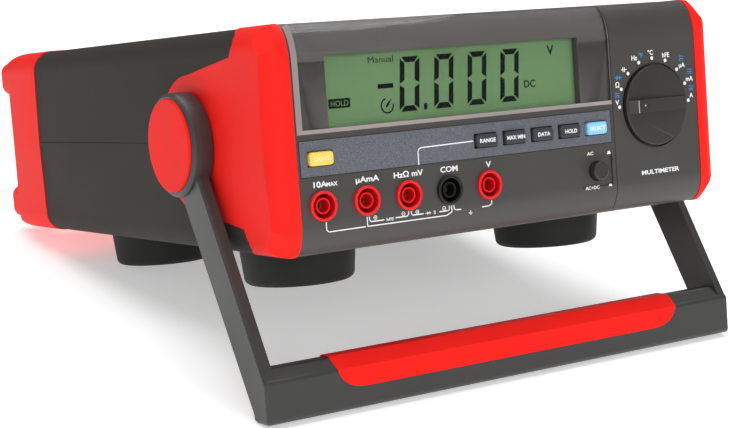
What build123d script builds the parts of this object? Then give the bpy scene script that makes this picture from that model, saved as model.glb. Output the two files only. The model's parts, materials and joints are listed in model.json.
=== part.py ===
from build123d import *
import os
from math import asin, atan2, cos, degrees, hypot, radians, sin

# Bench multimeter, in millimetres.
# It is modelled level: X to the right as seen by a person facing the front, Y towards the back, Z up,
# with the origin under the middle of the front face, at the bottom of the case.
# The last section tilts every piece into the standing place, in which the handle props up the front.

# ---------------------------------------------------------------- driving dimensions
HALF_WIDTH = 110.0
CASE_HEIGHT = 87.0
PARTING_Z = CASE_HEIGHT / 2
CASE_END_Y = 232.0
REAR_Y = 279.0
BUMP_END_Y = 290.5
DRAFT = 0.8
TOP_EDGE_RADIUS = 10.0
BOTTOM_EDGE_RADIUS = 9.0
FRONT_PLAN_RADIUS = 8.5
REAR_PLAN_RADIUS = 14.0
FRONT_TOP_CURVE = (9.0, 15.0)
FRONT_BOTTOM_CURVE = (8.0, 13.0)
REAR_TOP_RADIUS = 18.0
REAR_BOTTOM_RADIUS = 16.0

CASE_INSET = 0.4
WALL = 3.0
BUMPER_THICK = 1.8
REAR_BUMPER_THICK = 4.0
PANEL_INSET = 0.3
PANEL_THICK = 3.0
PANEL_END_Y = 9.2
PANEL_HALF_WIDTH = 99.2
SEAM_X = 52.3
SEAM_GAP = 0.3

PIVOT_Y = 65.3
PIVOT_Z = PARTING_Z
FOOT_RADIUS = 24.5
FOOT_HEIGHT = 17.3
FOOT_X = 64.8
FOOT_YS = (66.6, 197.5)

SOCKET_PITCH = 19.05
FIRST_SOCKET_X = -89.8
SOCKET_Z = 18.8
PLUG_RADIUS = 2.0
KEY_Z = 36.4
KEY_SIZE = (10.4, 5.2)
KEY_PITCH = 14.0
KEY_TRAVEL = 0.8
STRIP_LOW = (-98.2, 29.6)
STRIP_HIGH = (50.8, 43.5)
STRIP_GAP = 0.3
LCD_LOW = (-84.9, 47.0)
LCD_HIGH = (34.9, 73.9)
KNOB_X = 75.5
KNOB_Z = 43.4
KNOB_RADIUS = 16.8
COUPLING_X = 42.2
COUPLING_Z = 18.7
COUPLING_RADIUS = 3.8
COUPLING_TRAVEL = 2.5

HUB_INNER_X = 110.6
HUB_OUTER_X = 119.0
CAP_X = 120.0
HUB_RADIUS = 20.6
BUSH_RADIUS = 10.0
ARM_INNER_X = 112.0
ARM_OUTER_X = 116.8
ARM_WIDTH = 18.0
BAR_FRONT_Y = 6.0
BAR_BACK_Y = 17.6
BAR_TOP_Z = -40.0
BAR_SHOULDER_Z = -44.4
BAR_BOTTOM_Z = -60.6
ARM_ANGLE = 29.4
GUARD_RADIUS = 27.0
CORNER_SLOPE = (1.0, -0.55, 0.75)
CORNER_CUT = 8.0

CLEARANCE = 0.3
OUTSIDE_X = HALF_WIDTH + 1
ABOVE_Z = CASE_HEIGHT + 1
Y_AXIS = (0, 1, 0)
X_AXIS = (1, 0, 0)
Z_AXIS = (0, 0, 1)

GUARD_TOP_END = [
    (28, CASE_HEIGHT - 11),
    (26, CASE_HEIGHT - 6.5),
    (27, CASE_HEIGHT - 3),
    (31, CASE_HEIGHT - 1),
    (37, ABOVE_Z),
]
GUARD_LOW_END = [(37, -1), (30, 1), (26, 3), (24.8, 6), (27, 11)]
KEY_XS = {
    "light_key": -89.5,
    "range_key": COUPLING_X - 4 * KEY_PITCH,
    "max_min_key": COUPLING_X - 3 * KEY_PITCH,
    "data_key": COUPLING_X - 2 * KEY_PITCH,
    "hold_key": COUPLING_X - KEY_PITCH,
    "select_key": COUPLING_X,
}
SOCKET_NAMES = [
    "ampere_socket",
    "milliampere_socket",
    "resistance_socket",
    "common_socket",
    "voltage_socket",
]
SOCKET_XS = {name: FIRST_SOCKET_X + i * SOCKET_PITCH for i, name in enumerate(SOCKET_NAMES)}
FOOT_PLACES = {
    "front_left_foot": (-FOOT_X, FOOT_YS[0]),
    "front_right_foot": (FOOT_X, FOOT_YS[0]),
    "rear_left_foot": (-FOOT_X, FOOT_YS[1]),
    "rear_right_foot": (FOOT_X, FOOT_YS[1]),
}

# ---------------------------------------------------------------- standing place
# The case leans back by TILT: it stands on the rounded lower rear edges of the cross bar and the rear feet.
FOOT_TOE = 1.5
FOOT_FILLET = 3.0
BAR_FILLET = 2.0
bar_round = (BAR_BACK_Y - BAR_FILLET, BAR_BOTTOM_Z + BAR_FILLET)
foot_round = (FOOT_YS[1] + FOOT_RADIUS - FOOT_TOE - FOOT_FILLET, FOOT_FILLET - FOOT_HEIGHT)
span = foot_round[0] - bar_round[0]
rise = foot_round[1] - bar_round[1]
TILT = degrees(atan2(rise, span) - asin((FOOT_FILLET - BAR_FILLET) / hypot(rise, span)))


# ---------------------------------------------------------------- shared shapes
def block(low, high, mode=Mode.ADD):
    """Box between two opposite corners."""
    centre = tuple((a + b) / 2 for a, b in zip(low, high))
    size = [b - a for a, b in zip(low, high)]
    with Locations(centre):
        Box(*size, mode=mode)


def rod(start, axis, radius, length, mode=Mode.ADD):
    """Cylinder that starts at a point and runs along an axis."""
    with Locations(Plane(origin=start, z_dir=axis)):
        Cylinder(radius, length, align=(Align.CENTER, Align.CENTER, Align.MIN), mode=mode)


def pivot_rod(side, start_x, radius, length, mode=Mode.ADD):
    """Cylinder on the pivot line of the handle that runs outwards; side is 1 for right, -1 for left."""
    rod((side * start_x, PIVOT_Y, PIVOT_Z), (side, 0, 0), radius, length, mode)


def envelope(inset):
    """Outer form of the whole case, moved inwards by inset."""
    side = HALF_WIDTH - inset
    top = CASE_HEIGHT - inset
    rear = REAR_Y - inset
    top_y, top_drop = FRONT_TOP_CURVE
    low_y, low_rise = FRONT_BOTTOM_CURVE
    rear_top = (REAR_Y - REAR_TOP_RADIUS, CASE_HEIGHT - REAR_TOP_RADIUS)
    rear_low = (REAR_Y - REAR_BOTTOM_RADIUS, REAR_BOTTOM_RADIUS)
    front_top = (top_y, CASE_HEIGHT - top_drop)
    front_low = (low_y, low_rise)
    with BuildPart() as form:
        with BuildSketch(Plane.XZ):
            Polygon(
                (-side + DRAFT, inset),
                (side - DRAFT, inset),
                (side, PARTING_Z),
                (side - DRAFT, CASE_HEIGHT - inset),
                (-side + DRAFT, CASE_HEIGHT - inset),
                (-side, PARTING_Z),
                align=None,
            )
            fillet(vertices().group_by(Axis.Y)[0], BOTTOM_EDGE_RADIUS - inset)
            fillet(vertices().group_by(Axis.Y)[-1], TOP_EDGE_RADIUS - inset)
        extrude(amount=-REAR_Y)
        with BuildSketch(Plane.XY.offset(-1)):
            with Locations((0, REAR_Y / 2)):
                Rectangle(2 * side, REAR_Y - 2 * inset)
            fillet(vertices().group_by(Axis.Y)[0], FRONT_PLAN_RADIUS - inset)
            fillet(vertices().group_by(Axis.Y)[-1], REAR_PLAN_RADIUS - inset)
        extrude(amount=CASE_HEIGHT + 2, mode=Mode.INTERSECT)
        with BuildSketch(Plane.YZ):
            with BuildLine():
                Line((top_y, top), (rear_top[0], top))
                CenterArc(rear_top, REAR_TOP_RADIUS - inset, 0, 90)
                Line((rear, rear_top[1]), (rear, rear_low[1]))
                CenterArc(rear_low, REAR_BOTTOM_RADIUS - inset, 270, 90)
                Line((rear_low[0], inset), (low_y, inset))
                EllipticalCenterArc(front_low, low_y - inset, low_rise - inset, start_angle=180, arc_size=90)
                Line((inset, low_rise), (inset, front_top[1]))
                EllipticalCenterArc(front_top, top_y - inset, top_drop - inset, start_angle=90, arc_size=90)
            make_face()
        extrude(amount=HALF_WIDTH + 1, both=True, mode=Mode.INTERSECT)
        # The four front corners are cut off at a slant.
        for across, up in ((-1, 1), (1, 1), (-1, -1), (1, -1)):
            slope = Vector(across * CORNER_SLOPE[0], CORNER_SLOPE[1], up * CORNER_SLOPE[2]).normalized()
            corner = Vector(across * (HALF_WIDTH - DRAFT), 0, CASE_HEIGHT if up == 1 else 0)
            with Locations(Plane(origin=corner - slope * (CORNER_CUT + inset), z_dir=slope)):
                Box(60, 60, 20, align=(Align.CENTER, Align.CENTER, Align.MIN), mode=Mode.SUBTRACT)
    return form.part


def guard_region(side):
    """Space outside the case wall in the outline of a front corner guard; side is 1 for right, -1 for left."""
    with BuildPart() as region:
        with BuildSketch(Plane.YZ.offset(side * (PANEL_HALF_WIDTH + 0.2))):
            with BuildLine():
                upper = (PIVOT_Y, PIVOT_Z + GUARD_RADIUS)
                lower = (PIVOT_Y, PIVOT_Z - GUARD_RADIUS)
                Polyline(upper, *GUARD_TOP_END, (-1, ABOVE_Z))
                Polyline((-1, ABOVE_Z), (-1, -1), *GUARD_LOW_END, lower)
                ThreePointArc(lower, (PIVOT_Y + GUARD_RADIUS, PIVOT_Z), upper)
            make_face()
        extrude(amount=side * 12)
        add(envelope(BUMPER_THICK), mode=Mode.SUBTRACT)
    return region.part


outer_form = envelope(0)
case_form = envelope(CASE_INSET)
cavity_form = envelope(CASE_INSET + WALL)
panel_form = envelope(PANEL_INSET)
panel_cavity_form = envelope(PANEL_INSET + PANEL_THICK)
rear_cavity_form = envelope(REAR_BUMPER_THICK)
pieces = {}

# ---------------------------------------------------------------- front corner guards
for name, side in (("left_front_bumper", -1), ("right_front_bumper", 1)):
    with BuildPart() as guard:
        add(outer_form)
        add(guard_region(side), mode=Mode.INTERSECT)
        pivot_rod(side, HALF_WIDTH - 5, BUSH_RADIUS + 0.2, 10, Mode.SUBTRACT)
    pieces[name] = guard.part

# ---------------------------------------------------------------- case halves
CASE_SCREWS = [(x, y) for x in (-98.0, 98.0) for y in (42.0, 221.0)]
BOARD_SCREWS = [(x, y) for x in (-84.0, 84.0) for y in (38.0, 187.0)]
BOARD_Z = 36.0
BOARD_THICK = 1.6
BOARD_TOP_Z = BOARD_Z + BOARD_THICK
BATTERY_X = 53.0
BATTERY_YS = (92.0, 176.0)
DOOR_THICK = 2.4
TAB_YS = (BATTERY_YS[0] - 9, BATTERY_YS[1] - 1)
TAB_HALF = 16.0
TAB_LONG = 10.0
FLOOR_Z = CASE_INSET + WALL
CEILING_Z = CASE_HEIGHT - CASE_INSET - WALL
BOSS_RADIUS = 4.5
FOOT_BOSS_TOP = 13.0

with BuildPart() as case_shell:
    add(case_form)
    add(cavity_form, mode=Mode.SUBTRACT)
    mouth_x = PANEL_HALF_WIDTH + 0.2
    block((-mouth_x, -1, -1), (mouth_x, PANEL_END_Y + 0.2, ABOVE_Z), Mode.SUBTRACT)
    block((-OUTSIDE_X, CASE_END_Y, -1), (OUTSIDE_X, REAR_Y + 1, ABOVE_Z), Mode.SUBTRACT)
    for side in (-1, 1):
        add(guard_region(side), mode=Mode.SUBTRACT)
        pivot_rod(side, HALF_WIDTH - 8, BUSH_RADIUS + 0.1, 10, Mode.SUBTRACT)

with BuildPart() as top_case:
    add(case_shell.part)
    block((-OUTSIDE_X, -1, -1), (OUTSIDE_X, REAR_Y, PARTING_Z + 0.1), Mode.SUBTRACT)
    for x, y in CASE_SCREWS:
        rod((x, y, PARTING_Z + 0.1), Z_AXIS, BOSS_RADIUS, CEILING_Z - PARTING_Z + 0.5)
        rod((x, y, PARTING_Z), Z_AXIS, 1.6, 20, mode=Mode.SUBTRACT)
pieces["top_case"] = top_case.part

with BuildPart() as bottom_case:
    add(case_shell.part)
    block((-OUTSIDE_X, -1, PARTING_Z - 0.1), (OUTSIDE_X, REAR_Y, ABOVE_Z), Mode.SUBTRACT)
    for x, y in CASE_SCREWS:
        rod((x, y, FLOOR_Z - 0.5), Z_AXIS, BOSS_RADIUS, PARTING_Z - 0.1 - FLOOR_Z + 0.5)
        rod((x, y, -1), Z_AXIS, 1.7, PARTING_Z + 2, mode=Mode.SUBTRACT)
        rod((x, y, -1), Z_AXIS, 3.4, 6, mode=Mode.SUBTRACT)
    for x, y in BOARD_SCREWS:
        rod((x, y, FLOOR_Z - 0.5), Z_AXIS, 3.2, BOARD_Z - FLOOR_Z + 0.5)
        rod((x, y, BOARD_Z - 12), Z_AXIS, 1.3, 13, mode=Mode.SUBTRACT)
    for x, y in FOOT_PLACES.values():
        rod((x, y, FLOOR_Z - 0.5), Z_AXIS, BOSS_RADIUS, FOOT_BOSS_TOP - FLOOR_Z + 0.5)
        rod((x, y, -1), Z_AXIS, 2.0, FOOT_BOSS_TOP, mode=Mode.SUBTRACT)
    block((-BATTERY_X, BATTERY_YS[0], -1), (BATTERY_X, BATTERY_YS[1], FLOOR_Z + 1), mode=Mode.SUBTRACT)
    for y in TAB_YS:
        step_top = CASE_INSET + DOOR_THICK / 2 + 0.1
        block((-TAB_HALF, y, CASE_INSET - 0.1), (TAB_HALF, y + TAB_LONG, step_top), Mode.SUBTRACT)
        rod((0, y + TAB_LONG / 2, -1), Z_AXIS, 1.4, 6, Mode.SUBTRACT)
pieces["bottom_case"] = bottom_case.part

with BuildPart() as case_screws:
    for x, y in CASE_SCREWS:
        rod((x, y, 2.8), Z_AXIS, 3.0, 2.2)
        rod((x, y, 5.0), Z_AXIS, 1.5, 54)
        with Locations((x, y, 2.8)):
            Box(1.0, 4.4, 1.6, mode=Mode.SUBTRACT)
            Box(4.4, 1.0, 1.6, mode=Mode.SUBTRACT)
pieces["case_screws"] = case_screws.part

# ---------------------------------------------------------------- battery door, tray and cells
DOOR_GAP = 0.3
with BuildPart() as battery_door:
    block((-BATTERY_X + DOOR_GAP, BATTERY_YS[0] + DOOR_GAP, CASE_INSET),
          (BATTERY_X - DOOR_GAP, BATTERY_YS[1] - DOOR_GAP, CASE_INSET + DOOR_THICK))
    for y in TAB_YS:
        block((-TAB_HALF + DOOR_GAP, y + DOOR_GAP, CASE_INSET),
              (TAB_HALF - DOOR_GAP, y + TAB_LONG - DOOR_GAP, CASE_INSET + DOOR_THICK / 2))
        rod((0, y + TAB_LONG / 2, -1), Z_AXIS, 1.6, 6, Mode.SUBTRACT)
    for i in range(9):
        groove_y = 122 + 3 * i
        block((-30, groove_y, CASE_INSET - 0.01), (30, groove_y + 1.2, CASE_INSET + 0.8), Mode.SUBTRACT)
pieces["battery_door"] = battery_door.part

with BuildPart() as battery_door_screws:
    for tab_y in TAB_YS:
        y = tab_y + TAB_LONG / 2
        rod((0, y, CASE_INSET - 0.3), Z_AXIS, 1.2, 4.5)
        rod((0, y, CASE_INSET - 1.6), Z_AXIS, 2.8, 1.5)
        block((-1.9, y - 0.4, CASE_INSET - 1.7), (1.9, y + 0.4, CASE_INSET - 0.8), Mode.SUBTRACT)
pieces["battery_door_screws"] = battery_door_screws.part

CELL_RADIUS = 13.0
CELL_LENGTH = 49.5
TRAY_FLOOR_Z = CASE_INSET + DOOR_THICK + 0.3
TRAY_TOP_Z = TRAY_FLOOR_Z + 2 * CELL_RADIUS + 2.4
cell_ys = [BATTERY_YS[0] + 2 + CELL_RADIUS + 27 * i for i in range(3)]
with BuildPart() as battery_tray:
    block((-BATTERY_X + 0.4, BATTERY_YS[0] + 0.4, FLOOR_Z + 0.2),
          (BATTERY_X - 0.4, BATTERY_YS[1] - 0.4, TRAY_TOP_Z))
    block((-BATTERY_X + 1.8, BATTERY_YS[0] + 1.6, FLOOR_Z - 1),
          (BATTERY_X - 1.8, BATTERY_YS[1] - 1.6, TRAY_TOP_Z - 1.6), Mode.SUBTRACT)
pieces["battery_tray"] = battery_tray.part

with BuildPart() as batteries:
    for y in cell_ys:
        for side in (-1, 1):
            centre_z = TRAY_FLOOR_Z + CELL_RADIUS + 0.3
            rod((side * 0.4, y, centre_z), (side, 0, 0), CELL_RADIUS, CELL_LENGTH - 1.5)
            rod((side * (CELL_LENGTH - 1.2), y, centre_z), (side, 0, 0), 3.2, 1.5)
pieces["batteries"] = batteries.part

# ---------------------------------------------------------------- feet
FOOT_WELL = 5.0
toe_radius = FOOT_RADIUS - FOOT_TOE
for name, (x, y) in FOOT_PLACES.items():
    with BuildPart() as foot:
        with BuildSketch(Plane(origin=(x, y, 0), x_dir=X_AXIS, z_dir=(0, -1, 0))):
            with BuildLine():
                Line((FOOT_WELL, CASE_INSET), (FOOT_RADIUS, CASE_INSET))
                Line((FOOT_RADIUS, CASE_INSET), (toe_radius, -FOOT_HEIGHT + FOOT_FILLET))
                CenterArc((toe_radius - FOOT_FILLET, -FOOT_HEIGHT + FOOT_FILLET), FOOT_FILLET, 270, 90)
                Line((toe_radius - FOOT_FILLET, -FOOT_HEIGHT), (FOOT_WELL, -FOOT_HEIGHT))
                Line((FOOT_WELL, -FOOT_HEIGHT), (FOOT_WELL, CASE_INSET))
            make_face()
        revolve(axis=Axis((x, y, 0), Z_AXIS))
        rod((x, y, -6.0), Z_AXIS, FOOT_WELL + 0.2, 6.0 + CASE_INSET)
        rod((x, y, -7.0), Z_AXIS, 2.2, 9, Mode.SUBTRACT)
    pieces[name] = foot.part

with BuildPart() as foot_screws:
    for x, y in FOOT_PLACES.values():
        rod((x, y, -8.6), Z_AXIS, 4.2, 2.6)
        rod((x, y, -6.0), Z_AXIS, 1.9, 16)
        with Locations((x, y, -8.6)):
            Box(1.1, 5.6, 2.0, mode=Mode.SUBTRACT)
            Box(5.6, 1.1, 2.0, mode=Mode.SUBTRACT)
pieces["foot_screws"] = foot_screws.part

# ---------------------------------------------------------------- front mouldings
MASK_LOW = (-97.6, 46.6)
MASK_RIGHT = 50.8
MASK_THICK = 0.8
WINDOW_LOW = (-98.6, 45.6)
WINDOW_RIGHT = 51.7
WINDOW_THICK = 1.9
WINDOW_END_Y = 5.0
WINDOW_BEVEL = 1.6
STRIP_BACK_Y = PANEL_INSET + 0.5
SOCKET_FLANGE = 5.75
SOCKET_BODY = 5.4
GROOVE_LINE = 0.5
PAD_LOW = (COUPLING_X - 8.5, COUPLING_Z - 6.5)
PAD_HIGH = (COUPLING_X + 8.0, COUPLING_Z + 6.5)
PAD_DEEP = 0.6
KEY_HOLE = (KEY_SIZE[0] + 2 * CLEARANCE, KEY_SIZE[1] + 2 * CLEARANCE)
BACK_Y = PANEL_INSET + PANEL_THICK

with BuildPart() as front_shell:
    add(panel_form)
    add(panel_cavity_form, mode=Mode.SUBTRACT)
    block((-OUTSIDE_X, PANEL_END_Y, -1), (OUTSIDE_X, REAR_Y + 1, ABOVE_Z), Mode.SUBTRACT)

mask_form = envelope(PANEL_INSET + MASK_THICK)
with BuildPart() as display_mask:
    add(panel_form)
    add(mask_form, mode=Mode.SUBTRACT)
    block((MASK_LOW[0], -1, MASK_LOW[1]), (MASK_RIGHT, PANEL_END_Y, ABOVE_Z), Mode.INTERSECT)
    block((LCD_LOW[0], -1, LCD_LOW[1]), (LCD_HIGH[0], 5, LCD_HIGH[1]), Mode.SUBTRACT)
pieces["display_mask"] = display_mask.part

with BuildPart() as front_panel:
    add(front_shell.part)
    block((-PANEL_HALF_WIDTH, -1, -1), (SEAM_X - SEAM_GAP / 2, PANEL_END_Y, ABOVE_Z), Mode.INTERSECT)
    add(display_mask.part, mode=Mode.SUBTRACT)
    block((LCD_LOW[0], -1, LCD_LOW[1]), (LCD_HIGH[0], BACK_Y + 1, LCD_HIGH[1]), Mode.SUBTRACT)
    block((STRIP_LOW[0], -1, STRIP_LOW[1]), (STRIP_HIGH[0], STRIP_BACK_Y, STRIP_HIGH[1]), Mode.SUBTRACT)
    with BuildSketch(Plane.XZ):
        for x in KEY_XS.values():
            with Locations((x, KEY_Z)):
                Rectangle(*KEY_HOLE)
        for x in SOCKET_XS.values():
            with Locations((x, SOCKET_Z)):
                Circle(SOCKET_BODY + 0.1)
        with Locations((COUPLING_X, COUPLING_Z)):
            Circle(COUPLING_RADIUS + CLEARANCE)
    extrude(amount=-BACK_Y - 1, mode=Mode.SUBTRACT)
    block((PAD_LOW[0], -1, PAD_LOW[1]), (PAD_HIGH[0], PANEL_INSET + PAD_DEEP, PAD_HIGH[1]), Mode.SUBTRACT)
    with BuildSketch(Plane.XZ.offset(1)):
        with BuildLine():
            groove_top = (SEAM_X - 0.9, COUPLING_Z + 5.6)
            groove_foot = (SEAM_X - 0.9, COUPLING_Z - 5.0)
            ThreePointArc(groove_top, (SEAM_X - 3.0, COUPLING_Z), groove_foot)
            ThreePointArc(groove_foot, (SEAM_X - 3.0 + GROOVE_LINE, COUPLING_Z), groove_top)
        make_face()
    extrude(amount=-PANEL_INSET - 1 - GROOVE_LINE, mode=Mode.SUBTRACT)
pieces["front_panel"] = front_panel.part

KNOB_SHAFT_RADIUS = 3.0
KNOB_WELL = 1.6
KNOB_GAP = 1.0
with BuildPart() as knob_panel:
    add(front_shell.part)
    block((SEAM_X + SEAM_GAP / 2, -1, -1), (PANEL_HALF_WIDTH, PANEL_END_Y, ABOVE_Z), Mode.INTERSECT)
    rod((KNOB_X, -1, KNOB_Z), Y_AXIS, KNOB_SHAFT_RADIUS + CLEARANCE, 6, Mode.SUBTRACT)
    rod((KNOB_X, -1, KNOB_Z), Y_AXIS, KNOB_RADIUS + KNOB_GAP, 1 + PANEL_INSET + KNOB_WELL, Mode.SUBTRACT)
pieces["knob_panel"] = knob_panel.part

with BuildPart() as display_window:
    with BuildSketch(Plane.YZ.offset(WINDOW_LOW[0])):
        with BuildLine():
            front_y = PANEL_INSET - WINDOW_THICK
            bend_z = CASE_HEIGHT - FRONT_TOP_CURVE[1]
            curve_radii = (FRONT_TOP_CURVE[0] - front_y, FRONT_TOP_CURVE[1] - front_y)
            top_end = (FRONT_TOP_CURVE[0], CASE_HEIGHT - front_y)
            Line((front_y, WINDOW_LOW[1]), (front_y, bend_z))
            EllipticalCenterArc((FRONT_TOP_CURVE[0], bend_z), *curve_radii, start_angle=90, arc_size=90)
            Polyline(top_end, (FRONT_TOP_CURVE[0], WINDOW_LOW[1]), (front_y, WINDOW_LOW[1]))
        make_face()
        with Locations((WINDOW_END_Y + 5, PARTING_Z)):
            Rectangle(10, 2 * CASE_HEIGHT, mode=Mode.SUBTRACT)
    extrude(amount=WINDOW_RIGHT - WINDOW_LOW[0])
    along_x = display_window.edges().filter_by(Axis.X)
    uprights = display_window.edges().filter_by(Axis.Z).group_by(Axis.Y)[0]
    curves = display_window.edges().filter_by(GeomType.ELLIPSE)
    border = [along_x.group_by(Axis.Z)[0].sort_by(Axis.Y)[0], along_x.sort_by(Axis.Z)[-1], *uprights, *curves]
    chamfer(border, WINDOW_BEVEL)
    add(panel_form, mode=Mode.SUBTRACT)
pieces["display_window"] = display_window.part

with BuildPart() as key_strip:
    block((STRIP_LOW[0] + STRIP_GAP, PANEL_INSET - 0.1, STRIP_LOW[1] + STRIP_GAP),
          (STRIP_HIGH[0] - STRIP_GAP, STRIP_BACK_Y, STRIP_HIGH[1] - STRIP_GAP))
    with BuildSketch(Plane.XZ.offset(1)):
        for x in KEY_XS.values():
            with Locations((x, KEY_Z)):
                Rectangle(*KEY_HOLE)
    extrude(amount=-3, mode=Mode.SUBTRACT)
pieces["key_strip"] = key_strip.part

# ---------------------------------------------------------------- display stack and board
GLASS_Y = 3.8
GLASS_BACK_Y = 6.0
BACKLIGHT_THICK = 4.0
DISPLAY_BOARD_Y = 12.4
with BuildPart() as lcd_glass:
    block((LCD_LOW[0] - 2, GLASS_Y, LCD_LOW[1] - 2), (LCD_HIGH[0] + 2, GLASS_BACK_Y, LCD_HIGH[1] + 2))
pieces["lcd_glass"] = lcd_glass.part

with BuildPart() as lcd_backlight:
    block((LCD_LOW[0] - 4, GLASS_BACK_Y, LCD_LOW[1] - 2.4),
          (LCD_HIGH[0] + 4, GLASS_BACK_Y + BACKLIGHT_THICK, LCD_HIGH[1] + 4))
    fillet(lcd_backlight.edges().filter_by(Axis.Y), 1.5)
pieces["lcd_backlight"] = lcd_backlight.part

with BuildPart() as display_board:
    block((-96, DISPLAY_BOARD_Y, 8), (96, DISPLAY_BOARD_Y + BOARD_THICK, 79))
    for x in SOCKET_XS.values():
        rod((x, DISPLAY_BOARD_Y - 1, SOCKET_Z), Y_AXIS, SOCKET_BODY + CLEARANCE, 4, Mode.SUBTRACT)
    rod((KNOB_X, DISPLAY_BOARD_Y - 1, KNOB_Z), Y_AXIS, KNOB_SHAFT_RADIUS + 1, 4, Mode.SUBTRACT)
pieces["display_board"] = display_board.part

# ---------------------------------------------------------------- keys and their switches
KEY_FRONT_Y = -1.4
KEY_BACK_Y = 4.6
SWITCH_FRONT_Y = KEY_BACK_Y + KEY_TRAVEL + 0.2
for name, x in KEY_XS.items():
    with BuildPart() as key:
        with BuildSketch(Plane.XZ.offset(-KEY_BACK_Y)):
            with Locations((x, KEY_Z)):
                RectangleRounded(KEY_SIZE[0], KEY_SIZE[1], 1.4)
        extrude(amount=KEY_BACK_Y - KEY_FRONT_Y)
        fillet(key.faces().sort_by(Axis.Y)[0].edges(), 0.8)
    pieces[name] = key.part

with BuildPart() as key_switches:
    for x in KEY_XS.values():
        block((x - 3, SWITCH_FRONT_Y + 1.6, KEY_Z - 3), (x + 3, DISPLAY_BOARD_Y, KEY_Z + 3))
        rod((x, SWITCH_FRONT_Y, KEY_Z), Y_AXIS, 1.7, 2)
pieces["key_switches"] = key_switches.part

COUPLING_FRONT_Y = -2.6
COUPLING_BACK_Y = 5.0
COUPLING_LONG = COUPLING_BACK_Y - COUPLING_FRONT_Y
with BuildPart() as coupling_button:
    rod((COUPLING_X, COUPLING_FRONT_Y, COUPLING_Z), Y_AXIS, COUPLING_RADIUS, COUPLING_LONG)
    fillet(coupling_button.faces().sort_by(Axis.Y)[0].edges(), 0.8)
pieces["coupling_button"] = coupling_button.part

with BuildPart() as coupling_switch:
    low_y = COUPLING_BACK_Y + COUPLING_TRAVEL + 0.4
    block((COUPLING_X - 4, low_y, COUPLING_Z - 4), (COUPLING_X + 4, DISPLAY_BOARD_Y, COUPLING_Z + 4))
pieces["coupling_switch"] = coupling_switch.part

# ---------------------------------------------------------------- range knob, shaft and rotary switch
KNOB_BASE_Y = 1.6
KNOB_DISC = 2.8
KNOB_BAR = 2.6
with BuildPart() as selector_knob:
    rod((KNOB_X, KNOB_BASE_Y, KNOB_Z), (0, -1, 0), KNOB_RADIUS, KNOB_DISC)
    fillet(selector_knob.faces().sort_by(Axis.Y)[0].edges(), 0.5)
    with BuildSketch(Plane.XY.offset(KNOB_Z)):
        with Locations((KNOB_X, KNOB_BASE_Y - KNOB_DISC)):
            Polygon((-16.1, 0.4), (-12.8, -KNOB_BAR), (16.0, -0.7), (16.0, 0.4), align=None)
    extrude(amount=2.8, both=True)
    fillet(selector_knob.edges().group_by(Axis.Y)[0], 0.3)
    rod((KNOB_X, KNOB_BASE_Y + 0.1, KNOB_Z), (0, -1, 0), KNOB_SHAFT_RADIUS, 1.5, mode=Mode.SUBTRACT)
pieces["selector_knob"] = selector_knob.part

SELECTOR_BACK_Y = DISPLAY_BOARD_Y + BOARD_THICK + 10
with BuildPart() as selector_shaft:
    shaft_start_y = KNOB_BASE_Y - 1.4
    rod((KNOB_X, shaft_start_y, KNOB_Z), Y_AXIS, KNOB_SHAFT_RADIUS, SELECTOR_BACK_Y - shaft_start_y)
pieces["selector_shaft"] = selector_shaft.part

with BuildPart() as selector_switch:
    rod((KNOB_X, DISPLAY_BOARD_Y + BOARD_THICK, KNOB_Z), Y_AXIS, 15, 8)
    rod((KNOB_X, DISPLAY_BOARD_Y, KNOB_Z), Y_AXIS, KNOB_SHAFT_RADIUS + 0.05, 12, mode=Mode.SUBTRACT)
pieces["selector_switch"] = selector_switch.part

# ---------------------------------------------------------------- sockets
SOCKET_FRONT_Y = -1.2
SOCKET_BACK_Y = 26.0
CHANNEL_RADIUS = 4.6
CHANNEL_END_Y = 14.0
TUBE_RADIUS = 3.05
TUBE_FRONT_Y = 0.0
SLEEVE_RADIUS = 2.5
SLEEVE_FRONT_Y = 6.0
SLEEVE_BACK_Y = 25.0
PLUG_END_Y = 23.0
for name, x in SOCKET_XS.items():
    with BuildPart() as socket:
        rod((x, SOCKET_FRONT_Y, SOCKET_Z), Y_AXIS, SOCKET_FLANGE, PANEL_INSET - SOCKET_FRONT_Y)
        rod((x, PANEL_INSET, SOCKET_Z), Y_AXIS, SOCKET_BODY, SOCKET_BACK_Y - PANEL_INSET)
        rod((x, SOCKET_FRONT_Y, SOCKET_Z), Y_AXIS, CHANNEL_RADIUS, CHANNEL_END_Y - SOCKET_FRONT_Y, Mode.SUBTRACT)
        fillet(socket.faces().sort_by(Axis.Y)[0].edges(), 0.45)
        rod((x, TUBE_FRONT_Y, SOCKET_Z), Y_AXIS, TUBE_RADIUS, CHANNEL_END_Y - TUBE_FRONT_Y)
        bore_start = SOCKET_FRONT_Y - 1
        rod((x, bore_start, SOCKET_Z), Y_AXIS, SLEEVE_RADIUS, SLEEVE_BACK_Y - bore_start, Mode.SUBTRACT)
    pieces[name] = socket.part

with BuildPart() as socket_contacts:
    for x in SOCKET_XS.values():
        rod((x, SLEEVE_FRONT_Y, SOCKET_Z), Y_AXIS, SLEEVE_RADIUS, SLEEVE_BACK_Y - SLEEVE_FRONT_Y)
        rod((x, 0, SOCKET_Z), Y_AXIS, PLUG_RADIUS, PLUG_END_Y, Mode.SUBTRACT)
pieces["socket_contacts"] = socket_contacts.part

# ---------------------------------------------------------------- main board, mains and input parts
with BuildPart() as main_board:
    block((-90, 29, BOARD_Z), (90, 195, BOARD_TOP_Z))
    for x, y in BOARD_SCREWS:
        rod((x, y, BOARD_Z - 1), Z_AXIS, 1.6, 4, mode=Mode.SUBTRACT)
pieces["main_board"] = main_board.part

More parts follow.
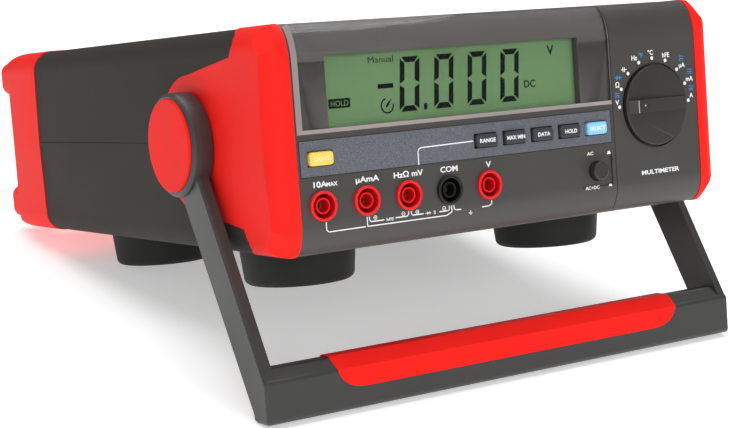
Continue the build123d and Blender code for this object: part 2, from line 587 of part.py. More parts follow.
with BuildPart() as board_screws:
    for x, y in BOARD_SCREWS:
        rod((x, y, BOARD_TOP_Z), Z_AXIS, 2.7, 1.8)
        rod((x, y, BOARD_Z - 9), Z_AXIS, 1.25, 9 + BOARD_THICK)
        with Locations((x, y, BOARD_TOP_Z + 1.8)):
            Box(0.9, 3.6, 1.6, mode=Mode.SUBTRACT)
            Box(3.6, 0.9, 1.6, mode=Mode.SUBTRACT)
pieces["board_screws"] = board_screws.part

CORE_LOW = (-44.0, 206.0, FLOOR_Z)
CORE_HIGH = (4.0, 222.0, FLOOR_Z + 40)
with BuildPart() as transformer_core:
    block(CORE_LOW, CORE_HIGH)
    block((CORE_LOW[0] + 8, 205, FLOOR_Z + 8), (CORE_LOW[0] + 16, 223, FLOOR_Z + 32), mode=Mode.SUBTRACT)
    block((CORE_HIGH[0] - 16, 205, FLOOR_Z + 8), (CORE_HIGH[0] - 8, 223, FLOOR_Z + 32), mode=Mode.SUBTRACT)
pieces["transformer_core"] = transformer_core.part

with BuildPart() as transformer_winding:
    block((CORE_LOW[0] + 8.2, 200, FLOOR_Z + 8.2), (CORE_HIGH[0] - 8.2, 228, FLOOR_Z + 31.8))
    block((CORE_LOW[0] + 16, 199, FLOOR_Z + 4), (CORE_HIGH[0] - 16, 229, FLOOR_Z + 36), mode=Mode.SUBTRACT)
pieces["transformer_winding"] = transformer_winding.part

FUSES = [(-62.0, 62.0), (-62.0, 78.0)]
with BuildPart() as input_fuses:
    for x, y in FUSES:
        rod((x - 10, y, BOARD_TOP_Z + 4.4), X_AXIS, 2.6, 20)
pieces["input_fuses"] = input_fuses.part

with BuildPart() as fuse_clips:
    for x, y in FUSES:
        for clip_x in (x - 8, x + 5):
            block((clip_x, y - 3.4, BOARD_TOP_Z), (clip_x + 3, y + 3.4, BOARD_TOP_Z + 4.4))
            rod((clip_x - 1, y, BOARD_TOP_Z + 4.4), X_AXIS, 2.65, 5, Mode.SUBTRACT)
pieces["fuse_clips"] = fuse_clips.part

# ---------------------------------------------------------------- rear panel and what it carries
PLATE_Y = 264.0
PLATE_THICK = 2.5
PLATE_FACE_Y = PLATE_Y + PLATE_THICK
INLET_X = -62.0
INLET_Z = 44.0
ROCKER_X = -18.0
ROCKER_Z = 44.0
PORT_X = 52.0
PORT_Z = 44.0
INLET_BODY = (27.0, 19.6)
INLET_FLANGE = (30.0, 22.6)
INLET_CAVITY = (24.4, 16.6)
ROCKER_HOLE = (19.0, 13.0)
PORT_HOLE = (20.0, 11.4)
PORT_SCREW = 12.5
VENT_Z = 69.0
VENT_PITCH = 6.0
VENT_COUNT = 18
with BuildPart() as rear_panel:
    add(rear_cavity_form)
    block((-HALF_WIDTH, PLATE_Y, -1), (HALF_WIDTH, PLATE_FACE_Y, ABOVE_Z), Mode.INTERSECT)
    with BuildSketch(Plane.XZ.offset(-PLATE_Y + 1)):
        with Locations((INLET_X, INLET_Z)):
            Rectangle(*INLET_BODY)
        with Locations((ROCKER_X, ROCKER_Z)):
            Rectangle(*ROCKER_HOLE)
        with Locations((PORT_X, PORT_Z)):
            Rectangle(*PORT_HOLE)
        with Locations((PORT_X - PORT_SCREW, PORT_Z), (PORT_X + PORT_SCREW, PORT_Z)):
            Circle(1.8)
        with Locations((0, VENT_Z)):
            with GridLocations(VENT_PITCH, 0, VENT_COUNT, 1):
                SlotOverall(9, 2.2, rotation=90)
    extrude(amount=-6, mode=Mode.SUBTRACT)
pieces["rear_panel"] = rear_panel.part

OPEN_HALF = 88.0
OPEN_LOW_Z = 11.0
OPEN_HIGH_Z = 76.0
BUMP_XS = (84.0, 106.0)
with BuildPart() as rear_bumper:
    add(outer_form)
    add(rear_cavity_form, mode=Mode.SUBTRACT)
    block((-OUTSIDE_X, -1, -1), (OUTSIDE_X, CASE_END_Y + 0.2, ABOVE_Z), Mode.SUBTRACT)
    with BuildSketch(Plane.XZ.offset(-REAR_Y - 1)):
        with Locations((0, (OPEN_LOW_Z + OPEN_HIGH_Z) / 2)):
            RectangleRounded(2 * OPEN_HALF, OPEN_HIGH_Z - OPEN_LOW_Z, 6)
    extrude(amount=8, mode=Mode.SUBTRACT)
    for low_x, high_x in ((-BUMP_XS[1], -BUMP_XS[0]), BUMP_XS):
        for low_z, high_z in ((4.5, 20.5), (67.0, 83.0)):
            with BuildPart(mode=Mode.PRIVATE) as bump:
                block((low_x, REAR_Y - 9, low_z), (high_x, BUMP_END_Y, high_z))
                fillet(bump.edges().filter_by(Axis.Y), 5)
                fillet(bump.faces().sort_by(Axis.Y)[-1].edges(), 4)
            add(bump.part)
pieces["rear_bumper"] = rear_bumper.part

with BuildPart() as power_inlet:
    with BuildSketch(Plane.XZ.offset(-PLATE_FACE_Y)):
        with Locations((INLET_X, INLET_Z)):
            RectangleRounded(INLET_FLANGE[0], INLET_FLANGE[1], 2)
    extrude(amount=-2.5)
    with BuildSketch(Plane.XZ.offset(-PLATE_FACE_Y)):
        with Locations((INLET_X, INLET_Z)):
            Rectangle(INLET_BODY[0] - 0.2, INLET_BODY[1] - 0.2)
    extrude(amount=18)
    with BuildSketch(Plane.XZ.offset(-PLATE_FACE_Y - 2.5)):
        with Locations((INLET_X, INLET_Z)):
            RectangleRounded(INLET_CAVITY[0], INLET_CAVITY[1], 2)
    extrude(amount=17, mode=Mode.SUBTRACT)
pieces["power_inlet"] = power_inlet.part

INLET_FLOOR_Y = PLATE_FACE_Y + 2.5 - 17
INLET_PINS = [(INLET_X - 7, INLET_Z - 2), (INLET_X + 7, INLET_Z - 2), (INLET_X, INLET_Z + 2)]
with BuildPart() as inlet_pins:
    for x, z in INLET_PINS:
        block((x - 1.0, INLET_FLOOR_Y, z - 2), (x + 1.0, INLET_FLOOR_Y + 11, z + 2))
pieces["inlet_pins"] = inlet_pins.part

ROCKER_PIVOT_Y = PLATE_FACE_Y - 1.5
with BuildPart() as power_switch:
    with BuildSketch(Plane.XZ.offset(-PLATE_FACE_Y)):
        with Locations((ROCKER_X, ROCKER_Z)):
            RectangleRounded(21.5, 15.5, 1.5)
    extrude(amount=-1.6)
    with BuildSketch(Plane.XZ.offset(-PLATE_FACE_Y)):
        with Locations((ROCKER_X, ROCKER_Z)):
            Rectangle(ROCKER_HOLE[0] - 0.2, ROCKER_HOLE[1] - 0.2)
    extrude(amount=14)
    with BuildSketch(Plane.XZ.offset(-PLATE_FACE_Y - 1.6)):
        with Locations((ROCKER_X, ROCKER_Z)):
            Rectangle(16.6, 10.4)
    extrude(amount=10.5, mode=Mode.SUBTRACT)
pieces["power_switch"] = power_switch.part

ROCKER_LEAN = 9.0
rocker_x_dir = (cos(radians(ROCKER_LEAN)), -sin(radians(ROCKER_LEAN)), 0)
with BuildPart() as power_rocker:
    with BuildSketch(Plane(origin=(ROCKER_X, ROCKER_PIVOT_Y, ROCKER_Z), x_dir=rocker_x_dir, z_dir=Z_AXIS)):
        Polygon((-7.3, -2.8), (-7.3, 3.4), (0, 2.4), (7.3, 3.4), (7.3, -2.8), align=None)
    extrude(amount=4.8, both=True)
pieces["power_rocker"] = power_rocker.part

with BuildPart() as serial_port:
    with BuildSketch(Plane.XZ.offset(-PLATE_FACE_Y)):
        with Locations((PORT_X, PORT_Z)):
            RectangleRounded(30.8, 12.6, 1.5)
            with Locations((-PORT_SCREW, 0), (PORT_SCREW, 0)):
                Circle(1.6, mode=Mode.SUBTRACT)
    extrude(amount=-1.0)
    with BuildSketch(Plane.XZ.offset(-PLATE_Y + 4)):
        with Locations((PORT_X, PORT_Z)):
            Trapezoid(18.0, 9.4, 80, rotation=180)
    extrude(amount=-PLATE_THICK - 10.5)
    with BuildSketch(Plane.XZ.offset(-PLATE_FACE_Y - 7)):
        with Locations((PORT_X, PORT_Z)):
            Trapezoid(16.8, 8.4, 80, rotation=180)
    extrude(amount=6, mode=Mode.SUBTRACT)
pieces["serial_port"] = serial_port.part

# ---------------------------------------------------------------- handle pivots
WEB_THICK = 4.0
WEB_OUTER_X = HUB_INNER_X + WEB_THICK
BUSH_END_X = WEB_OUTER_X + 1.4
RECESS_RADIUS = 17.0
WASHER_RADIUS = 14.5
WASHER_THICK = 0.8
CAP_RADIUS = 18.5
CAP_SEAT_X = 118.2
with BuildPart() as pivot_bushes:
    for side in (-1, 1):
        pivot_rod(side, HALF_WIDTH - 7, BUSH_RADIUS, BUSH_END_X - HALF_WIDTH + 7)
        pivot_rod(side, HALF_WIDTH - 10, BUSH_RADIUS + 4, 3.0)
        pivot_rod(side, HALF_WIDTH - 11, 2.2, 20, Mode.SUBTRACT)
pieces["pivot_bushes"] = pivot_bushes.part

with BuildPart() as pivot_washers:
    for side in (-1, 1):
        pivot_rod(side, WEB_OUTER_X + CLEARANCE, WASHER_RADIUS, BUSH_END_X - WEB_OUTER_X - 0.4)
        pivot_rod(side, WEB_OUTER_X, BUSH_RADIUS, 1.3, Mode.SUBTRACT)
        pivot_rod(side, BUSH_END_X, WASHER_RADIUS, WASHER_THICK)
        pivot_rod(side, BUSH_END_X - 1, 2.3, 3, Mode.SUBTRACT)
pieces["pivot_washers"] = pivot_washers.part

with BuildPart() as pivot_bolts:
    for side in (-1, 1):
        pivot_rod(side, HALF_WIDTH - 12, 2.1, BUSH_END_X - HALF_WIDTH + 13)
        pivot_rod(side, BUSH_END_X + WASHER_THICK, 4.5, 0.8)
        pivot_rod(side, HALF_WIDTH - 13, 4.0, 3)
pieces["pivot_bolts"] = pivot_bolts.part

# ---------------------------------------------------------------- handle
along = (-sin(radians(ARM_ANGLE)), -cos(radians(ARM_ANGLE)))
across = (cos(radians(ARM_ANGLE)), -sin(radians(ARM_ANGLE)))


def beside_pivot(distance):
    """Point (Y, Z) at a distance from the pivot, square to the arm."""
    return (PIVOT_Y + across[0] * distance, PIVOT_Z + across[1] * distance)


GRIP_TOP_HALF = 86.0
GRIP_LOW_HALF = 72.5
GRIP_LOW_Z = -52.2
GRIP_DEEP = 2.6
GRIP_PROUD = 0.3


def bar_outline(grow, low_z):
    """Outline (Y, Z) of the cross bar, grown outwards on the front, top and back, down to low_z."""
    return [
        (BAR_FRONT_Y - grow, low_z),
        (BAR_FRONT_Y - grow, BAR_SHOULDER_Z + grow * 0.4),
        (BAR_FRONT_Y + 5.4, BAR_TOP_Z + grow),
        (BAR_BACK_Y + grow, BAR_TOP_Z + grow),
        (BAR_BACK_Y + grow, low_z),
    ]


def grip_wrap(outer_grow):
    """Upside-down channel over the bar, with ends that sweep outwards towards the top."""
    with BuildPart() as wrap:
        with BuildSketch(Plane.YZ):
            Polygon(*bar_outline(outer_grow, GRIP_LOW_Z), align=None)
            Polygon(*bar_outline(-GRIP_DEEP, GRIP_LOW_Z - 1), align=None, mode=Mode.SUBTRACT)
        extrude(amount=HALF_WIDTH, both=True)
        with BuildSketch(Plane.XZ.offset(20)):
            with BuildLine():
                low = GRIP_LOW_Z - 1
                high = BAR_TOP_Z + 3
                ends = []
                for side in (-1, 1):
                    foot_point = (side * GRIP_LOW_HALF, GRIP_LOW_Z)
                    top_point = (side * GRIP_TOP_HALF, BAR_TOP_Z)
                    ends.append(Spline(foot_point, top_point, tangents=((side, 0), (0, 1))))
                left, right = ends
                Polyline(right @ 1, (GRIP_TOP_HALF + 2, high), (-GRIP_TOP_HALF - 2, high), left @ 1)
                Polyline(left @ 0, (-GRIP_LOW_HALF, low), (GRIP_LOW_HALF, low), right @ 0)
            make_face()
        extrude(amount=-60, mode=Mode.INTERSECT)
    return wrap.part


with BuildPart() as handle_frame:
    with BuildSketch(Plane.YZ.offset(-ARM_OUTER_X)):
        Polygon(*bar_outline(0, BAR_BOTTOM_Z), align=None)
    extrude(amount=2 * ARM_OUTER_X)
    fillet(handle_frame.edges().filter_by(Axis.X), BAR_FILLET)
    for side in (-1, 1):
        with BuildSketch(Plane.YZ.offset(side * ARM_INNER_X)):
            Polygon(
                beside_pivot(-ARM_WIDTH / 2),
                (BAR_FRONT_Y + 0.6, BAR_SHOULDER_Z),
                (BAR_FRONT_Y + 0.6, BAR_BOTTOM_Z + 2.4),
                (BAR_BACK_Y - 1.0, BAR_BOTTOM_Z + 1.0),
                beside_pivot(ARM_WIDTH / 2),
                align=None,
            )
        extrude(amount=side * (ARM_OUTER_X - ARM_INNER_X))
        pivot_rod(side, HUB_INNER_X, HUB_RADIUS, HUB_OUTER_X - HUB_INNER_X)
    for side in (0, -1):
        chamfer(handle_frame.faces().sort_by(Axis.X)[side].edges(), 1.3)
    flat_sides = handle_frame.faces().filter_by(Axis.X)
    arm_faces = [face for face in flat_sides if abs(abs(face.center().X) - ARM_OUTER_X) < 0.01]
    arm_edges = [edge for face in arm_faces for edge in face.edges() if edge.geom_type == GeomType.LINE]
    chamfer(arm_edges, 1.0)
    for side in (-1, 1):
        pivot_rod(side, HUB_INNER_X - 1, BUSH_RADIUS + 0.05, 12, Mode.SUBTRACT)
        pivot_rod(side, WEB_OUTER_X, RECESS_RADIUS, 8, Mode.SUBTRACT)
        pivot_rod(side, CAP_SEAT_X, CAP_RADIUS + 0.1, 4, Mode.SUBTRACT)
    add(grip_wrap(2), mode=Mode.SUBTRACT)
pieces["handle_frame"] = handle_frame.part
pieces["handle_grip"] = grip_wrap(GRIP_PROUD)

for name, side in (("left_hub_cap", -1), ("right_hub_cap", 1)):
    with BuildPart() as cap:
        pivot_rod(side, CAP_SEAT_X, CAP_RADIUS, CAP_X - CAP_SEAT_X)
        outer = cap.faces().sort_by(Axis.X)[0 if side < 0 else -1]
        fillet(outer.edges(), 0.6)
    pieces[name] = cap.part

# ---------------------------------------------------------------- place on the ground and write
lean = Rotation(-TILT, 0, 0)
standing = {name: lean * piece for name, piece in pieces.items()}
boxes = [piece.bounding_box() for piece in standing.values()]
middle_x = (min(box.min.X for box in boxes) + max(box.max.X for box in boxes)) / 2
middle_y = (min(box.min.Y for box in boxes) + max(box.max.Y for box in boxes)) / 2
lowest_z = min(box.min.Z for box in boxes)
place = Pos(-middle_x, -middle_y, -lowest_z)
os.makedirs("parts", exist_ok=True)
for name, piece in standing.items():
    placed = place * piece
    placed.label = name
    export_step(placed, f"parts/{name}.step")
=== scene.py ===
import json
from math import atan2, cos, pi, radians, sin

import bmesh
import bpy
from mathutils import Matrix, Vector


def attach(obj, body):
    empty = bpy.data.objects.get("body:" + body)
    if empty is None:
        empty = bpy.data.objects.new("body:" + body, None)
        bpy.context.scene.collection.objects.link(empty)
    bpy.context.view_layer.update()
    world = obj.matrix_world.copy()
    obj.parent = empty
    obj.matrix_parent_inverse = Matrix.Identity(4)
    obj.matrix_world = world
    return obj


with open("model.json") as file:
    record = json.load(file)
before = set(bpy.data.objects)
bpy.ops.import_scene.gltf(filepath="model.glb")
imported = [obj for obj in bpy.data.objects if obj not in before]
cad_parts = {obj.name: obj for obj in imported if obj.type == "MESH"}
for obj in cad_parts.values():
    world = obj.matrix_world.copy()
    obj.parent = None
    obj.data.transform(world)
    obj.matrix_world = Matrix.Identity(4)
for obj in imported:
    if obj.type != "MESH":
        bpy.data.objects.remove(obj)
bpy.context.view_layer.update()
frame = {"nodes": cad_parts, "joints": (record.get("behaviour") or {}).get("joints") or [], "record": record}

# ---------------------------------------------------------------- the case's own level frame
# Places on the case are given in millimetres in the level case: X right, Y back from the front face, Z up
# from the bottom of the case. The knob's axis gives how far the case leans, and the handle's pivot its place.
MM = 0.001
PIVOT_IN_CASE = Vector((0.0, 65.3, 43.5)) * MM
joints = {joint["name"]: joint for joint in frame["joints"]}
knob_axis = Vector(joints["knob_turn"]["axis"])
LEAN = atan2(-knob_axis.z, knob_axis.y)
PIVOT = Vector(joints["handle_swing"]["pos_m"])
CASE = Matrix.Translation(PIVOT) @ Matrix.Rotation(-LEAN, 4, "X") @ Matrix.Translation(-PIVOT_IN_CASE)
FROM_MM = CASE @ Matrix.Scale(MM, 4)
TO_MM = FROM_MM.inverted()


def case_box(node):
    """Lowest and highest corner of a CAD node in the level case, in millimetres."""
    places = [TO_MM @ vertex.co for vertex in frame["nodes"][node].data.vertices]
    low = Vector([min(place[i] for place in places) for i in range(3)])
    high = Vector([max(place[i] for place in places) for i in range(3)])
    return low, high


def middle(node):
    """Middle of a CAD node's box in the level case, in millimetres."""
    low, high = case_box(node)
    return (low + high) / 2


# Fronts of the two panels, of the display glass and of the key strip.
PANEL_Y = 0.3
GLASS_Y = 3.8
STRIP_Y = 0.2
SOCKETS = ["ampere_socket", "milliampere_socket", "resistance_socket", "common_socket", "voltage_socket"]
socket_xs = [middle(name).x for name in SOCKETS]
socket_z = middle("common_socket").z
knob_x, knob_z = middle("selector_shaft").x, middle("selector_shaft").z


# ---------------------------------------------------------------- materials
def linear(red, green, blue):
    """Colour given on the usual 0 to 255 scale, as the shader takes it."""
    values = [value / 255 for value in (red, green, blue)]
    levels = [value / 12.92 if value <= 0.04045 else ((value + 0.055) / 1.055) ** 2.4 for value in values]
    return levels + [1.0]


class Nodes:
    """Short calls for building one material's node tree."""

    def __init__(self, name):
        self.material = bpy.data.materials.new(name)
        self.material.use_nodes = True
        self.tree = self.material.node_tree
        self.shader = self.tree.nodes["Principled BSDF"]
        self.place = self.add("ShaderNodeTexCoord").outputs["Object"]

    def add(self, kind, **inputs):
        node = self.tree.nodes.new(kind)
        for name, value in inputs.items():
            self.feed(node.inputs[name.replace("_", " ")], value)
        return node

    def feed(self, socket, value):
        if isinstance(value, bpy.types.NodeSocket):
            self.tree.links.new(value, socket)
        else:
            socket.default_value = value

    def noise(self, size_mm, detail=2.0):
        """Noise whose lumps are about size_mm across."""
        node = self.add("ShaderNodeTexNoise", Vector=self.place, Scale=1000 / size_mm, Detail=detail)
        return node.outputs["Fac"]

    def ramp(self, value, low, high, low_out, high_out):
        """Value stretched from low..high to low_out..high_out, and held at the ends."""
        node = self.add("ShaderNodeMapRange", Value=value)
        node.inputs["From Min"].default_value = low
        node.inputs["From Max"].default_value = high
        node.inputs["To Min"].default_value = low_out
        node.inputs["To Max"].default_value = high_out
        return node.outputs["Result"]

    def blend(self, amount, first, second):
        """Colour between first and second."""
        node = self.tree.nodes.new("ShaderNodeMix")
        node.data_type = "RGBA"
        self.feed(node.inputs[0], amount)
        self.feed(node.inputs[6], first)
        self.feed(node.inputs[7], second)
        return node.outputs[2]

    def bump(self, height, depth_mm):
        node = self.add("ShaderNodeBump", Height=height, Distance=depth_mm * MM, Strength=1.0)
        self.feed(self.shader.inputs["Normal"], node.outputs["Normal"])


def scaled(colour, factor):
    return [min(1.0, channel * factor) for channel in colour[:3]] + [1.0]


CLOUD_MM = 28
COAT_ROUGHNESS = 0.25


def moulded(name, colour, roughness=0.5, grain=0.35, depth=0.02, vary=0.06, coat=0.0, speck=0.0, shine=0.25):
    """Moulded plastic or rubber: fine grain in mm, and a cloudy change of shade and gloss."""
    nodes = Nodes(name)
    clouds = nodes.noise(CLOUD_MM, 3)
    grains = nodes.noise(grain, 3)
    shade = nodes.ramp(clouds, 0.3, 0.7, 0.0, 1.0)
    base = nodes.blend(shade, scaled(colour, 1 - vary), scaled(colour, 1 + vary))
    if speck:
        spots = nodes.ramp(grains, 0.45, 0.62, 0.0, 1.0)
        base = nodes.blend(spots, scaled(colour, 1 - speck), scaled(colour, 1 + speck))
    nodes.feed(nodes.shader.inputs["Base Color"], base)
    gloss = nodes.ramp(clouds, 0.3, 0.7, roughness - 0.04, roughness + 0.05)
    nodes.feed(nodes.shader.inputs["Roughness"], gloss)
    nodes.shader.inputs["Specular IOR Level"].default_value = shine
    nodes.shader.inputs["Coat Weight"].default_value = coat
    nodes.shader.inputs["Coat Roughness"].default_value = COAT_ROUGHNESS
    nodes.bump(grains, depth)
    return nodes.material


def metal(name, colour, roughness=0.3, stretch=(1.0, 1.0, 1.0), depth=0.004):
    """Plated or turned metal with fine machining marks along one direction."""
    nodes = Nodes(name)
    mapping = nodes.add("ShaderNodeMapping", Vector=nodes.place, Scale=stretch)
    lines = nodes.add("ShaderNodeTexNoise", Vector=mapping.outputs["Vector"], Scale=1500, Detail=4)
    marks = lines.outputs["Fac"]
    tarnish = nodes.noise(9, 3)
    base = nodes.blend(nodes.ramp(tarnish, 0.35, 0.7, 0.0, 1.0), colour, scaled(colour, 0.8))
    nodes.feed(nodes.shader.inputs["Base Color"], base)
    nodes.shader.inputs["Metallic"].default_value = 1.0
    gloss = nodes.ramp(marks, 0.3, 0.7, roughness - 0.06, roughness + 0.1)
    nodes.feed(nodes.shader.inputs["Roughness"], gloss)
    nodes.bump(marks, depth)
    return nodes.material


def printed(name, colour, roughness=0.5, shine=0.3):
    """Screen-printed ink with slightly uneven cover."""
    nodes = Nodes(name)
    cover = nodes.ramp(nodes.noise(0.6, 3), 0.3, 0.7, 0.0, 1.0)
    nodes.feed(nodes.shader.inputs["Base Color"], nodes.blend(cover, scaled(colour, 0.9), colour))
    gloss = nodes.ramp(cover, 0.0, 1.0, roughness - 0.05, roughness + 0.05)
    nodes.feed(nodes.shader.inputs["Roughness"], gloss)
    nodes.shader.inputs["Specular IOR Level"].default_value = shine
    nodes.bump(cover, 0.003)
    return nodes.material


def clear_glass(name):
    """Clear plastic with a faint smear."""
    nodes = Nodes(name)
    smear = nodes.noise(12, 3)
    nodes.shader.inputs["Base Color"].default_value = (0.93, 0.94, 0.94, 1.0)
    nodes.shader.inputs["Transmission Weight"].default_value = 1.0
    nodes.shader.inputs["IOR"].default_value = 1.3
    nodes.feed(nodes.shader.inputs["Roughness"], nodes.ramp(smear, 0.3, 0.7, 0.02, 0.05))
    return nodes.material


def display_glass(name, colour):
    """Reflective liquid-crystal cell with a slightly cloudy shade."""
    nodes = Nodes(name)
    clouds = nodes.ramp(nodes.noise(45, 2), 0.3, 0.7, 0.0, 1.0)
    grains = nodes.noise(0.5, 2)
    nodes.feed(nodes.shader.inputs["Base Color"], nodes.blend(clouds, colour, scaled(colour, 1.1)))
    nodes.feed(nodes.shader.inputs["Roughness"], nodes.ramp(grains, 0.3, 0.7, 0.5, 0.6))
    nodes.shader.inputs["Specular IOR Level"].default_value = 0.1
    nodes.bump(grains, 0.002)
    return nodes.material


RED = linear(240, 34, 28)
CASE_GREY = linear(54, 51, 47)
PANEL_GREY = linear(63, 61, 58)
looks = {
    "case_grey": moulded("case grain", CASE_GREY, 0.6, 0.45, 0.03, shine=0.08),
    "panel_grey": moulded("panel satin", PANEL_GREY, 0.42, 0.3, 0.008, 0.04, shine=0.5),
    "guard_red": moulded("guard soft plastic", RED, 0.5, 0.5, 0.012, 0.05, shine=0.1),
    "grip_red": moulded("grip soft plastic", RED, 0.45, 0.4, 0.015, 0.05, shine=0.06),
    "foot_rubber": moulded("foot rubber", linear(38, 40, 37), 0.62, 0.6, 0.05, 0.1),
    "steel": metal("zinc plated steel", linear(190, 190, 186), 0.32),
    "steel_shaft": metal("turned steel", linear(170, 170, 172), 0.3, (1, 30, 1)),
    "clear_window": clear_glass("window plastic"),
    "mask_dark": moulded("display mask", linear(74, 71, 69), 0.5, 0.3, 0.006, 0.04),
    "lcd": display_glass("display cell", linear(84, 110, 75)),
    "backlight_white": moulded("backlight tray", linear(225, 225, 218), 0.6),
    "key_strip_blue": moulded("key strip speckle", linear(96, 99, 106), 0.6, 0.35, 0.01, 0.05, 0.0, 0.25),
    "key_dark": moulded("key dark", linear(56, 58, 63), 0.45, 0.4, 0.008),
    "key_yellow": moulded("key yellow", linear(238, 204, 96), 0.45, 0.4, 0.008),
    "key_blue": moulded("key blue", linear(134, 194, 232), 0.45, 0.4, 0.008),
    "black_plastic": moulded("black plastic", linear(34, 34, 34), 0.45, 0.4, 0.015),
    "knob_grey": moulded("knob satin", linear(50, 46, 42), 0.36, 0.3, 0.006, 0.04, shine=0.5),
    "socket_red": moulded("socket red", linear(222, 24, 34), 0.28, 0.5, 0.004, 0.04, 0.3),
    "socket_black": moulded("socket black", linear(26, 26, 26), 0.28, 0.5, 0.004, 0.04, 0.3),
    "brass": metal("turned brass", linear(206, 178, 116), 0.3, (1, 1, 20)),
    "board_green": moulded("board lacquer", linear(28, 92, 52), 0.35, 1.2, 0.01, 0.12, 0.3),
    "copper_winding": metal("winding copper", linear(196, 118, 68), 0.42, (1, 40, 1), 0.02),
    "battery_wrap": moulded("cell wrap", linear(60, 60, 66), 0.3, 3.0, 0.01, 0.1, 0.4),
    "fuse_ceramic": moulded("fuse ceramic", linear(232, 230, 222), 0.3, 0.4, 0.004),
    "plated_steel": metal("nickel plate", linear(200, 200, 196), 0.24),
    "handle_grey": moulded("handle grain", linear(54, 54, 53), 0.42, 0.45, 0.03, shine=0.5),
    "acetal": moulded("bush acetal", linear(210, 210, 204), 0.4, 0.4, 0.006),
}
node_slots = {part["node"]: part["material_slot"] for part in frame["record"]["subparts"]}

# Most edges get a small round. Nodes with rounds of their own, and thin flat ones, stay as they are.
EDGE_MM = {"selector_knob": 0.12, "key_strip": 0.08}
USUAL_EDGE_MM = 0.2
EDGE_ANGLE = radians(35)
WELD_GAP = 1e-6
SHARP_NODES = {
    "display_window", "display_mask", "lcd_glass", "lcd_backlight", "display_board", "main_board",
    "top_case", "bottom_case", "front_panel", "knob_panel",
    "rear_bumper", "left_front_bumper", "right_front_bumper",
    *SOCKETS,
}
for name, node in frame["nodes"].items():
    node.data.materials.clear()
    node.data.materials.append(looks[node_slots[name]])
    if name not in SHARP_NODES:
        weld = node.modifiers.new("weld", "WELD")
        weld.merge_threshold = WELD_GAP
        edge = node.modifiers.new("edge", "BEVEL")
        edge.width = EDGE_MM.get(name, USUAL_EDGE_MM) * MM
        edge.segments = 2
        edge.limit_method = "ANGLE"
        edge.angle_limit = EDGE_ANGLE
        edge.harden_normals = True
frame["nodes"]["display_window"].visible_shadow = False


# ---------------------------------------------------------------- printed marks
class Marks:
    """Thin raised marks in the level case, in millimetres, gathered into one piece."""

    THICK = 0.04

    def __init__(self, face_y):
        self.mesh = bmesh.new()
        self.face_y = face_y

    def plate(self, points):
        """Flat closed outline of (x, z) points, given as a thin solid on the face."""
        front = [self.mesh.verts.new((x, self.face_y - self.THICK, z)) for x, z in points]
        back = [self.mesh.verts.new((x, self.face_y + self.THICK, z)) for x, z in points]
        self.mesh.faces.new(front)
        self.mesh.faces.new(reversed(back))
        for i, near in enumerate(front):
            j = (i + 1) % len(points)
            self.mesh.faces.new((near, back[i], back[j], front[j]))

    def disc(self, x, z, radius, steps=20):
        turns = [2 * pi * i / steps for i in range(steps)]
        self.plate([(x + radius * cos(turn), z + radius * sin(turn)) for turn in turns])

    def line(self, points, width):
        """Line of even width through (x, z) points, made of overlapping straight runs with round joins."""
        for (x0, z0), (x1, z1) in zip(points, points[1:]):
            run = Vector((x1 - x0, z1 - z0)).normalized() * width / 2
            side = Vector((-run.y, run.x))
            self.plate([
                (x0 + side.x, z0 + side.y),
                (x0 - side.x, z0 - side.y),
                (x1 - side.x, z1 - side.y),
                (x1 + side.x, z1 + side.y),
            ])
        for x, z in points[1:-1]:
            self.disc(x, z, width / 2, 10)

    def arc(self, x, z, radius, start, end, width, steps=18):
        """Arc from start to end degrees, measured from the right."""
        turns = [radians(start + (end - start) * i / steps) for i in range(steps + 1)]
        near, far = radius - width / 2, radius + width / 2
        inner = [(x + near * cos(turn), z + near * sin(turn)) for turn in turns]
        outer = [(x + far * cos(turn), z + far * sin(turn)) for turn in turns]
        for i in range(steps):
            self.plate([inner[i], inner[i + 1], outer[i + 1], outer[i]])

    def ring(self, x, z, radius, width):
        self.arc(x, z, radius, 0, 360, width, 24)

    def words(self, text, x, z, height, align="CENTER", weight=0.0, width=None):
        """Words on a baseline z; height is that of a capital, and width squeezes or stretches the line."""
        curve = bpy.data.curves.new("words", "FONT")
        curve.body = text
        curve.align_x = align
        curve.size = height / CAPITAL
        curve.offset = weight
        curve.extrude = self.THICK
        curve.resolution_u = 3
        holder = bpy.data.objects.new("words", curve)
        bpy.context.scene.collection.objects.link(holder)
        bpy.context.view_layer.update()
        graph = bpy.context.evaluated_depsgraph_get()
        letters = bpy.data.meshes.new_from_object(holder.evaluated_get(graph))
        stretch = 1.0
        if width:
            xs = [vertex.co.x for vertex in letters.vertices]
            stretch = width / (max(xs) - min(xs))
        place = Matrix.Translation((x, self.face_y, z))
        upright = Matrix.Rotation(pi / 2, 4, "X")
        letters.transform(place @ upright @ Matrix.Diagonal((stretch, 1, 1, 1)))
        self.mesh.from_mesh(letters)
        bpy.data.objects.remove(holder)
        bpy.data.meshes.remove(letters)

    def piece(self, name, body, material):
        """Turn the marks gathered so far into one piece that rides on a body."""
        data = bpy.data.meshes.new(name)
        self.mesh.transform(FROM_MM)
        self.mesh.to_mesh(data)
        data.materials.append(material)
        made = bpy.data.objects.new(name, data)
        bpy.context.scene.collection.objects.link(made)
        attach(made, body)
        return made


def capital_height():
    """Height of a capital letter at text size 1."""
    curve = bpy.data.curves.new("capital", "FONT")
    curve.body = "H"
    holder = bpy.data.objects.new("capital", curve)
    bpy.context.scene.collection.objects.link(holder)
    bpy.context.view_layer.update()
    height = holder.dimensions.y
    bpy.data.objects.remove(holder)
    return height


CAPITAL = capital_height()
ink_white = printed("ink white", linear(236, 238, 240))
ink_blue = printed("ink blue", linear(66, 138, 206))
ink_pale = printed("ink pale", linear(168, 164, 158))
ink_cream = printed("ink cream", linear(236, 226, 176))
ink_segment = printed("display segment", linear(5, 10, 8), 0.6, 0.02)

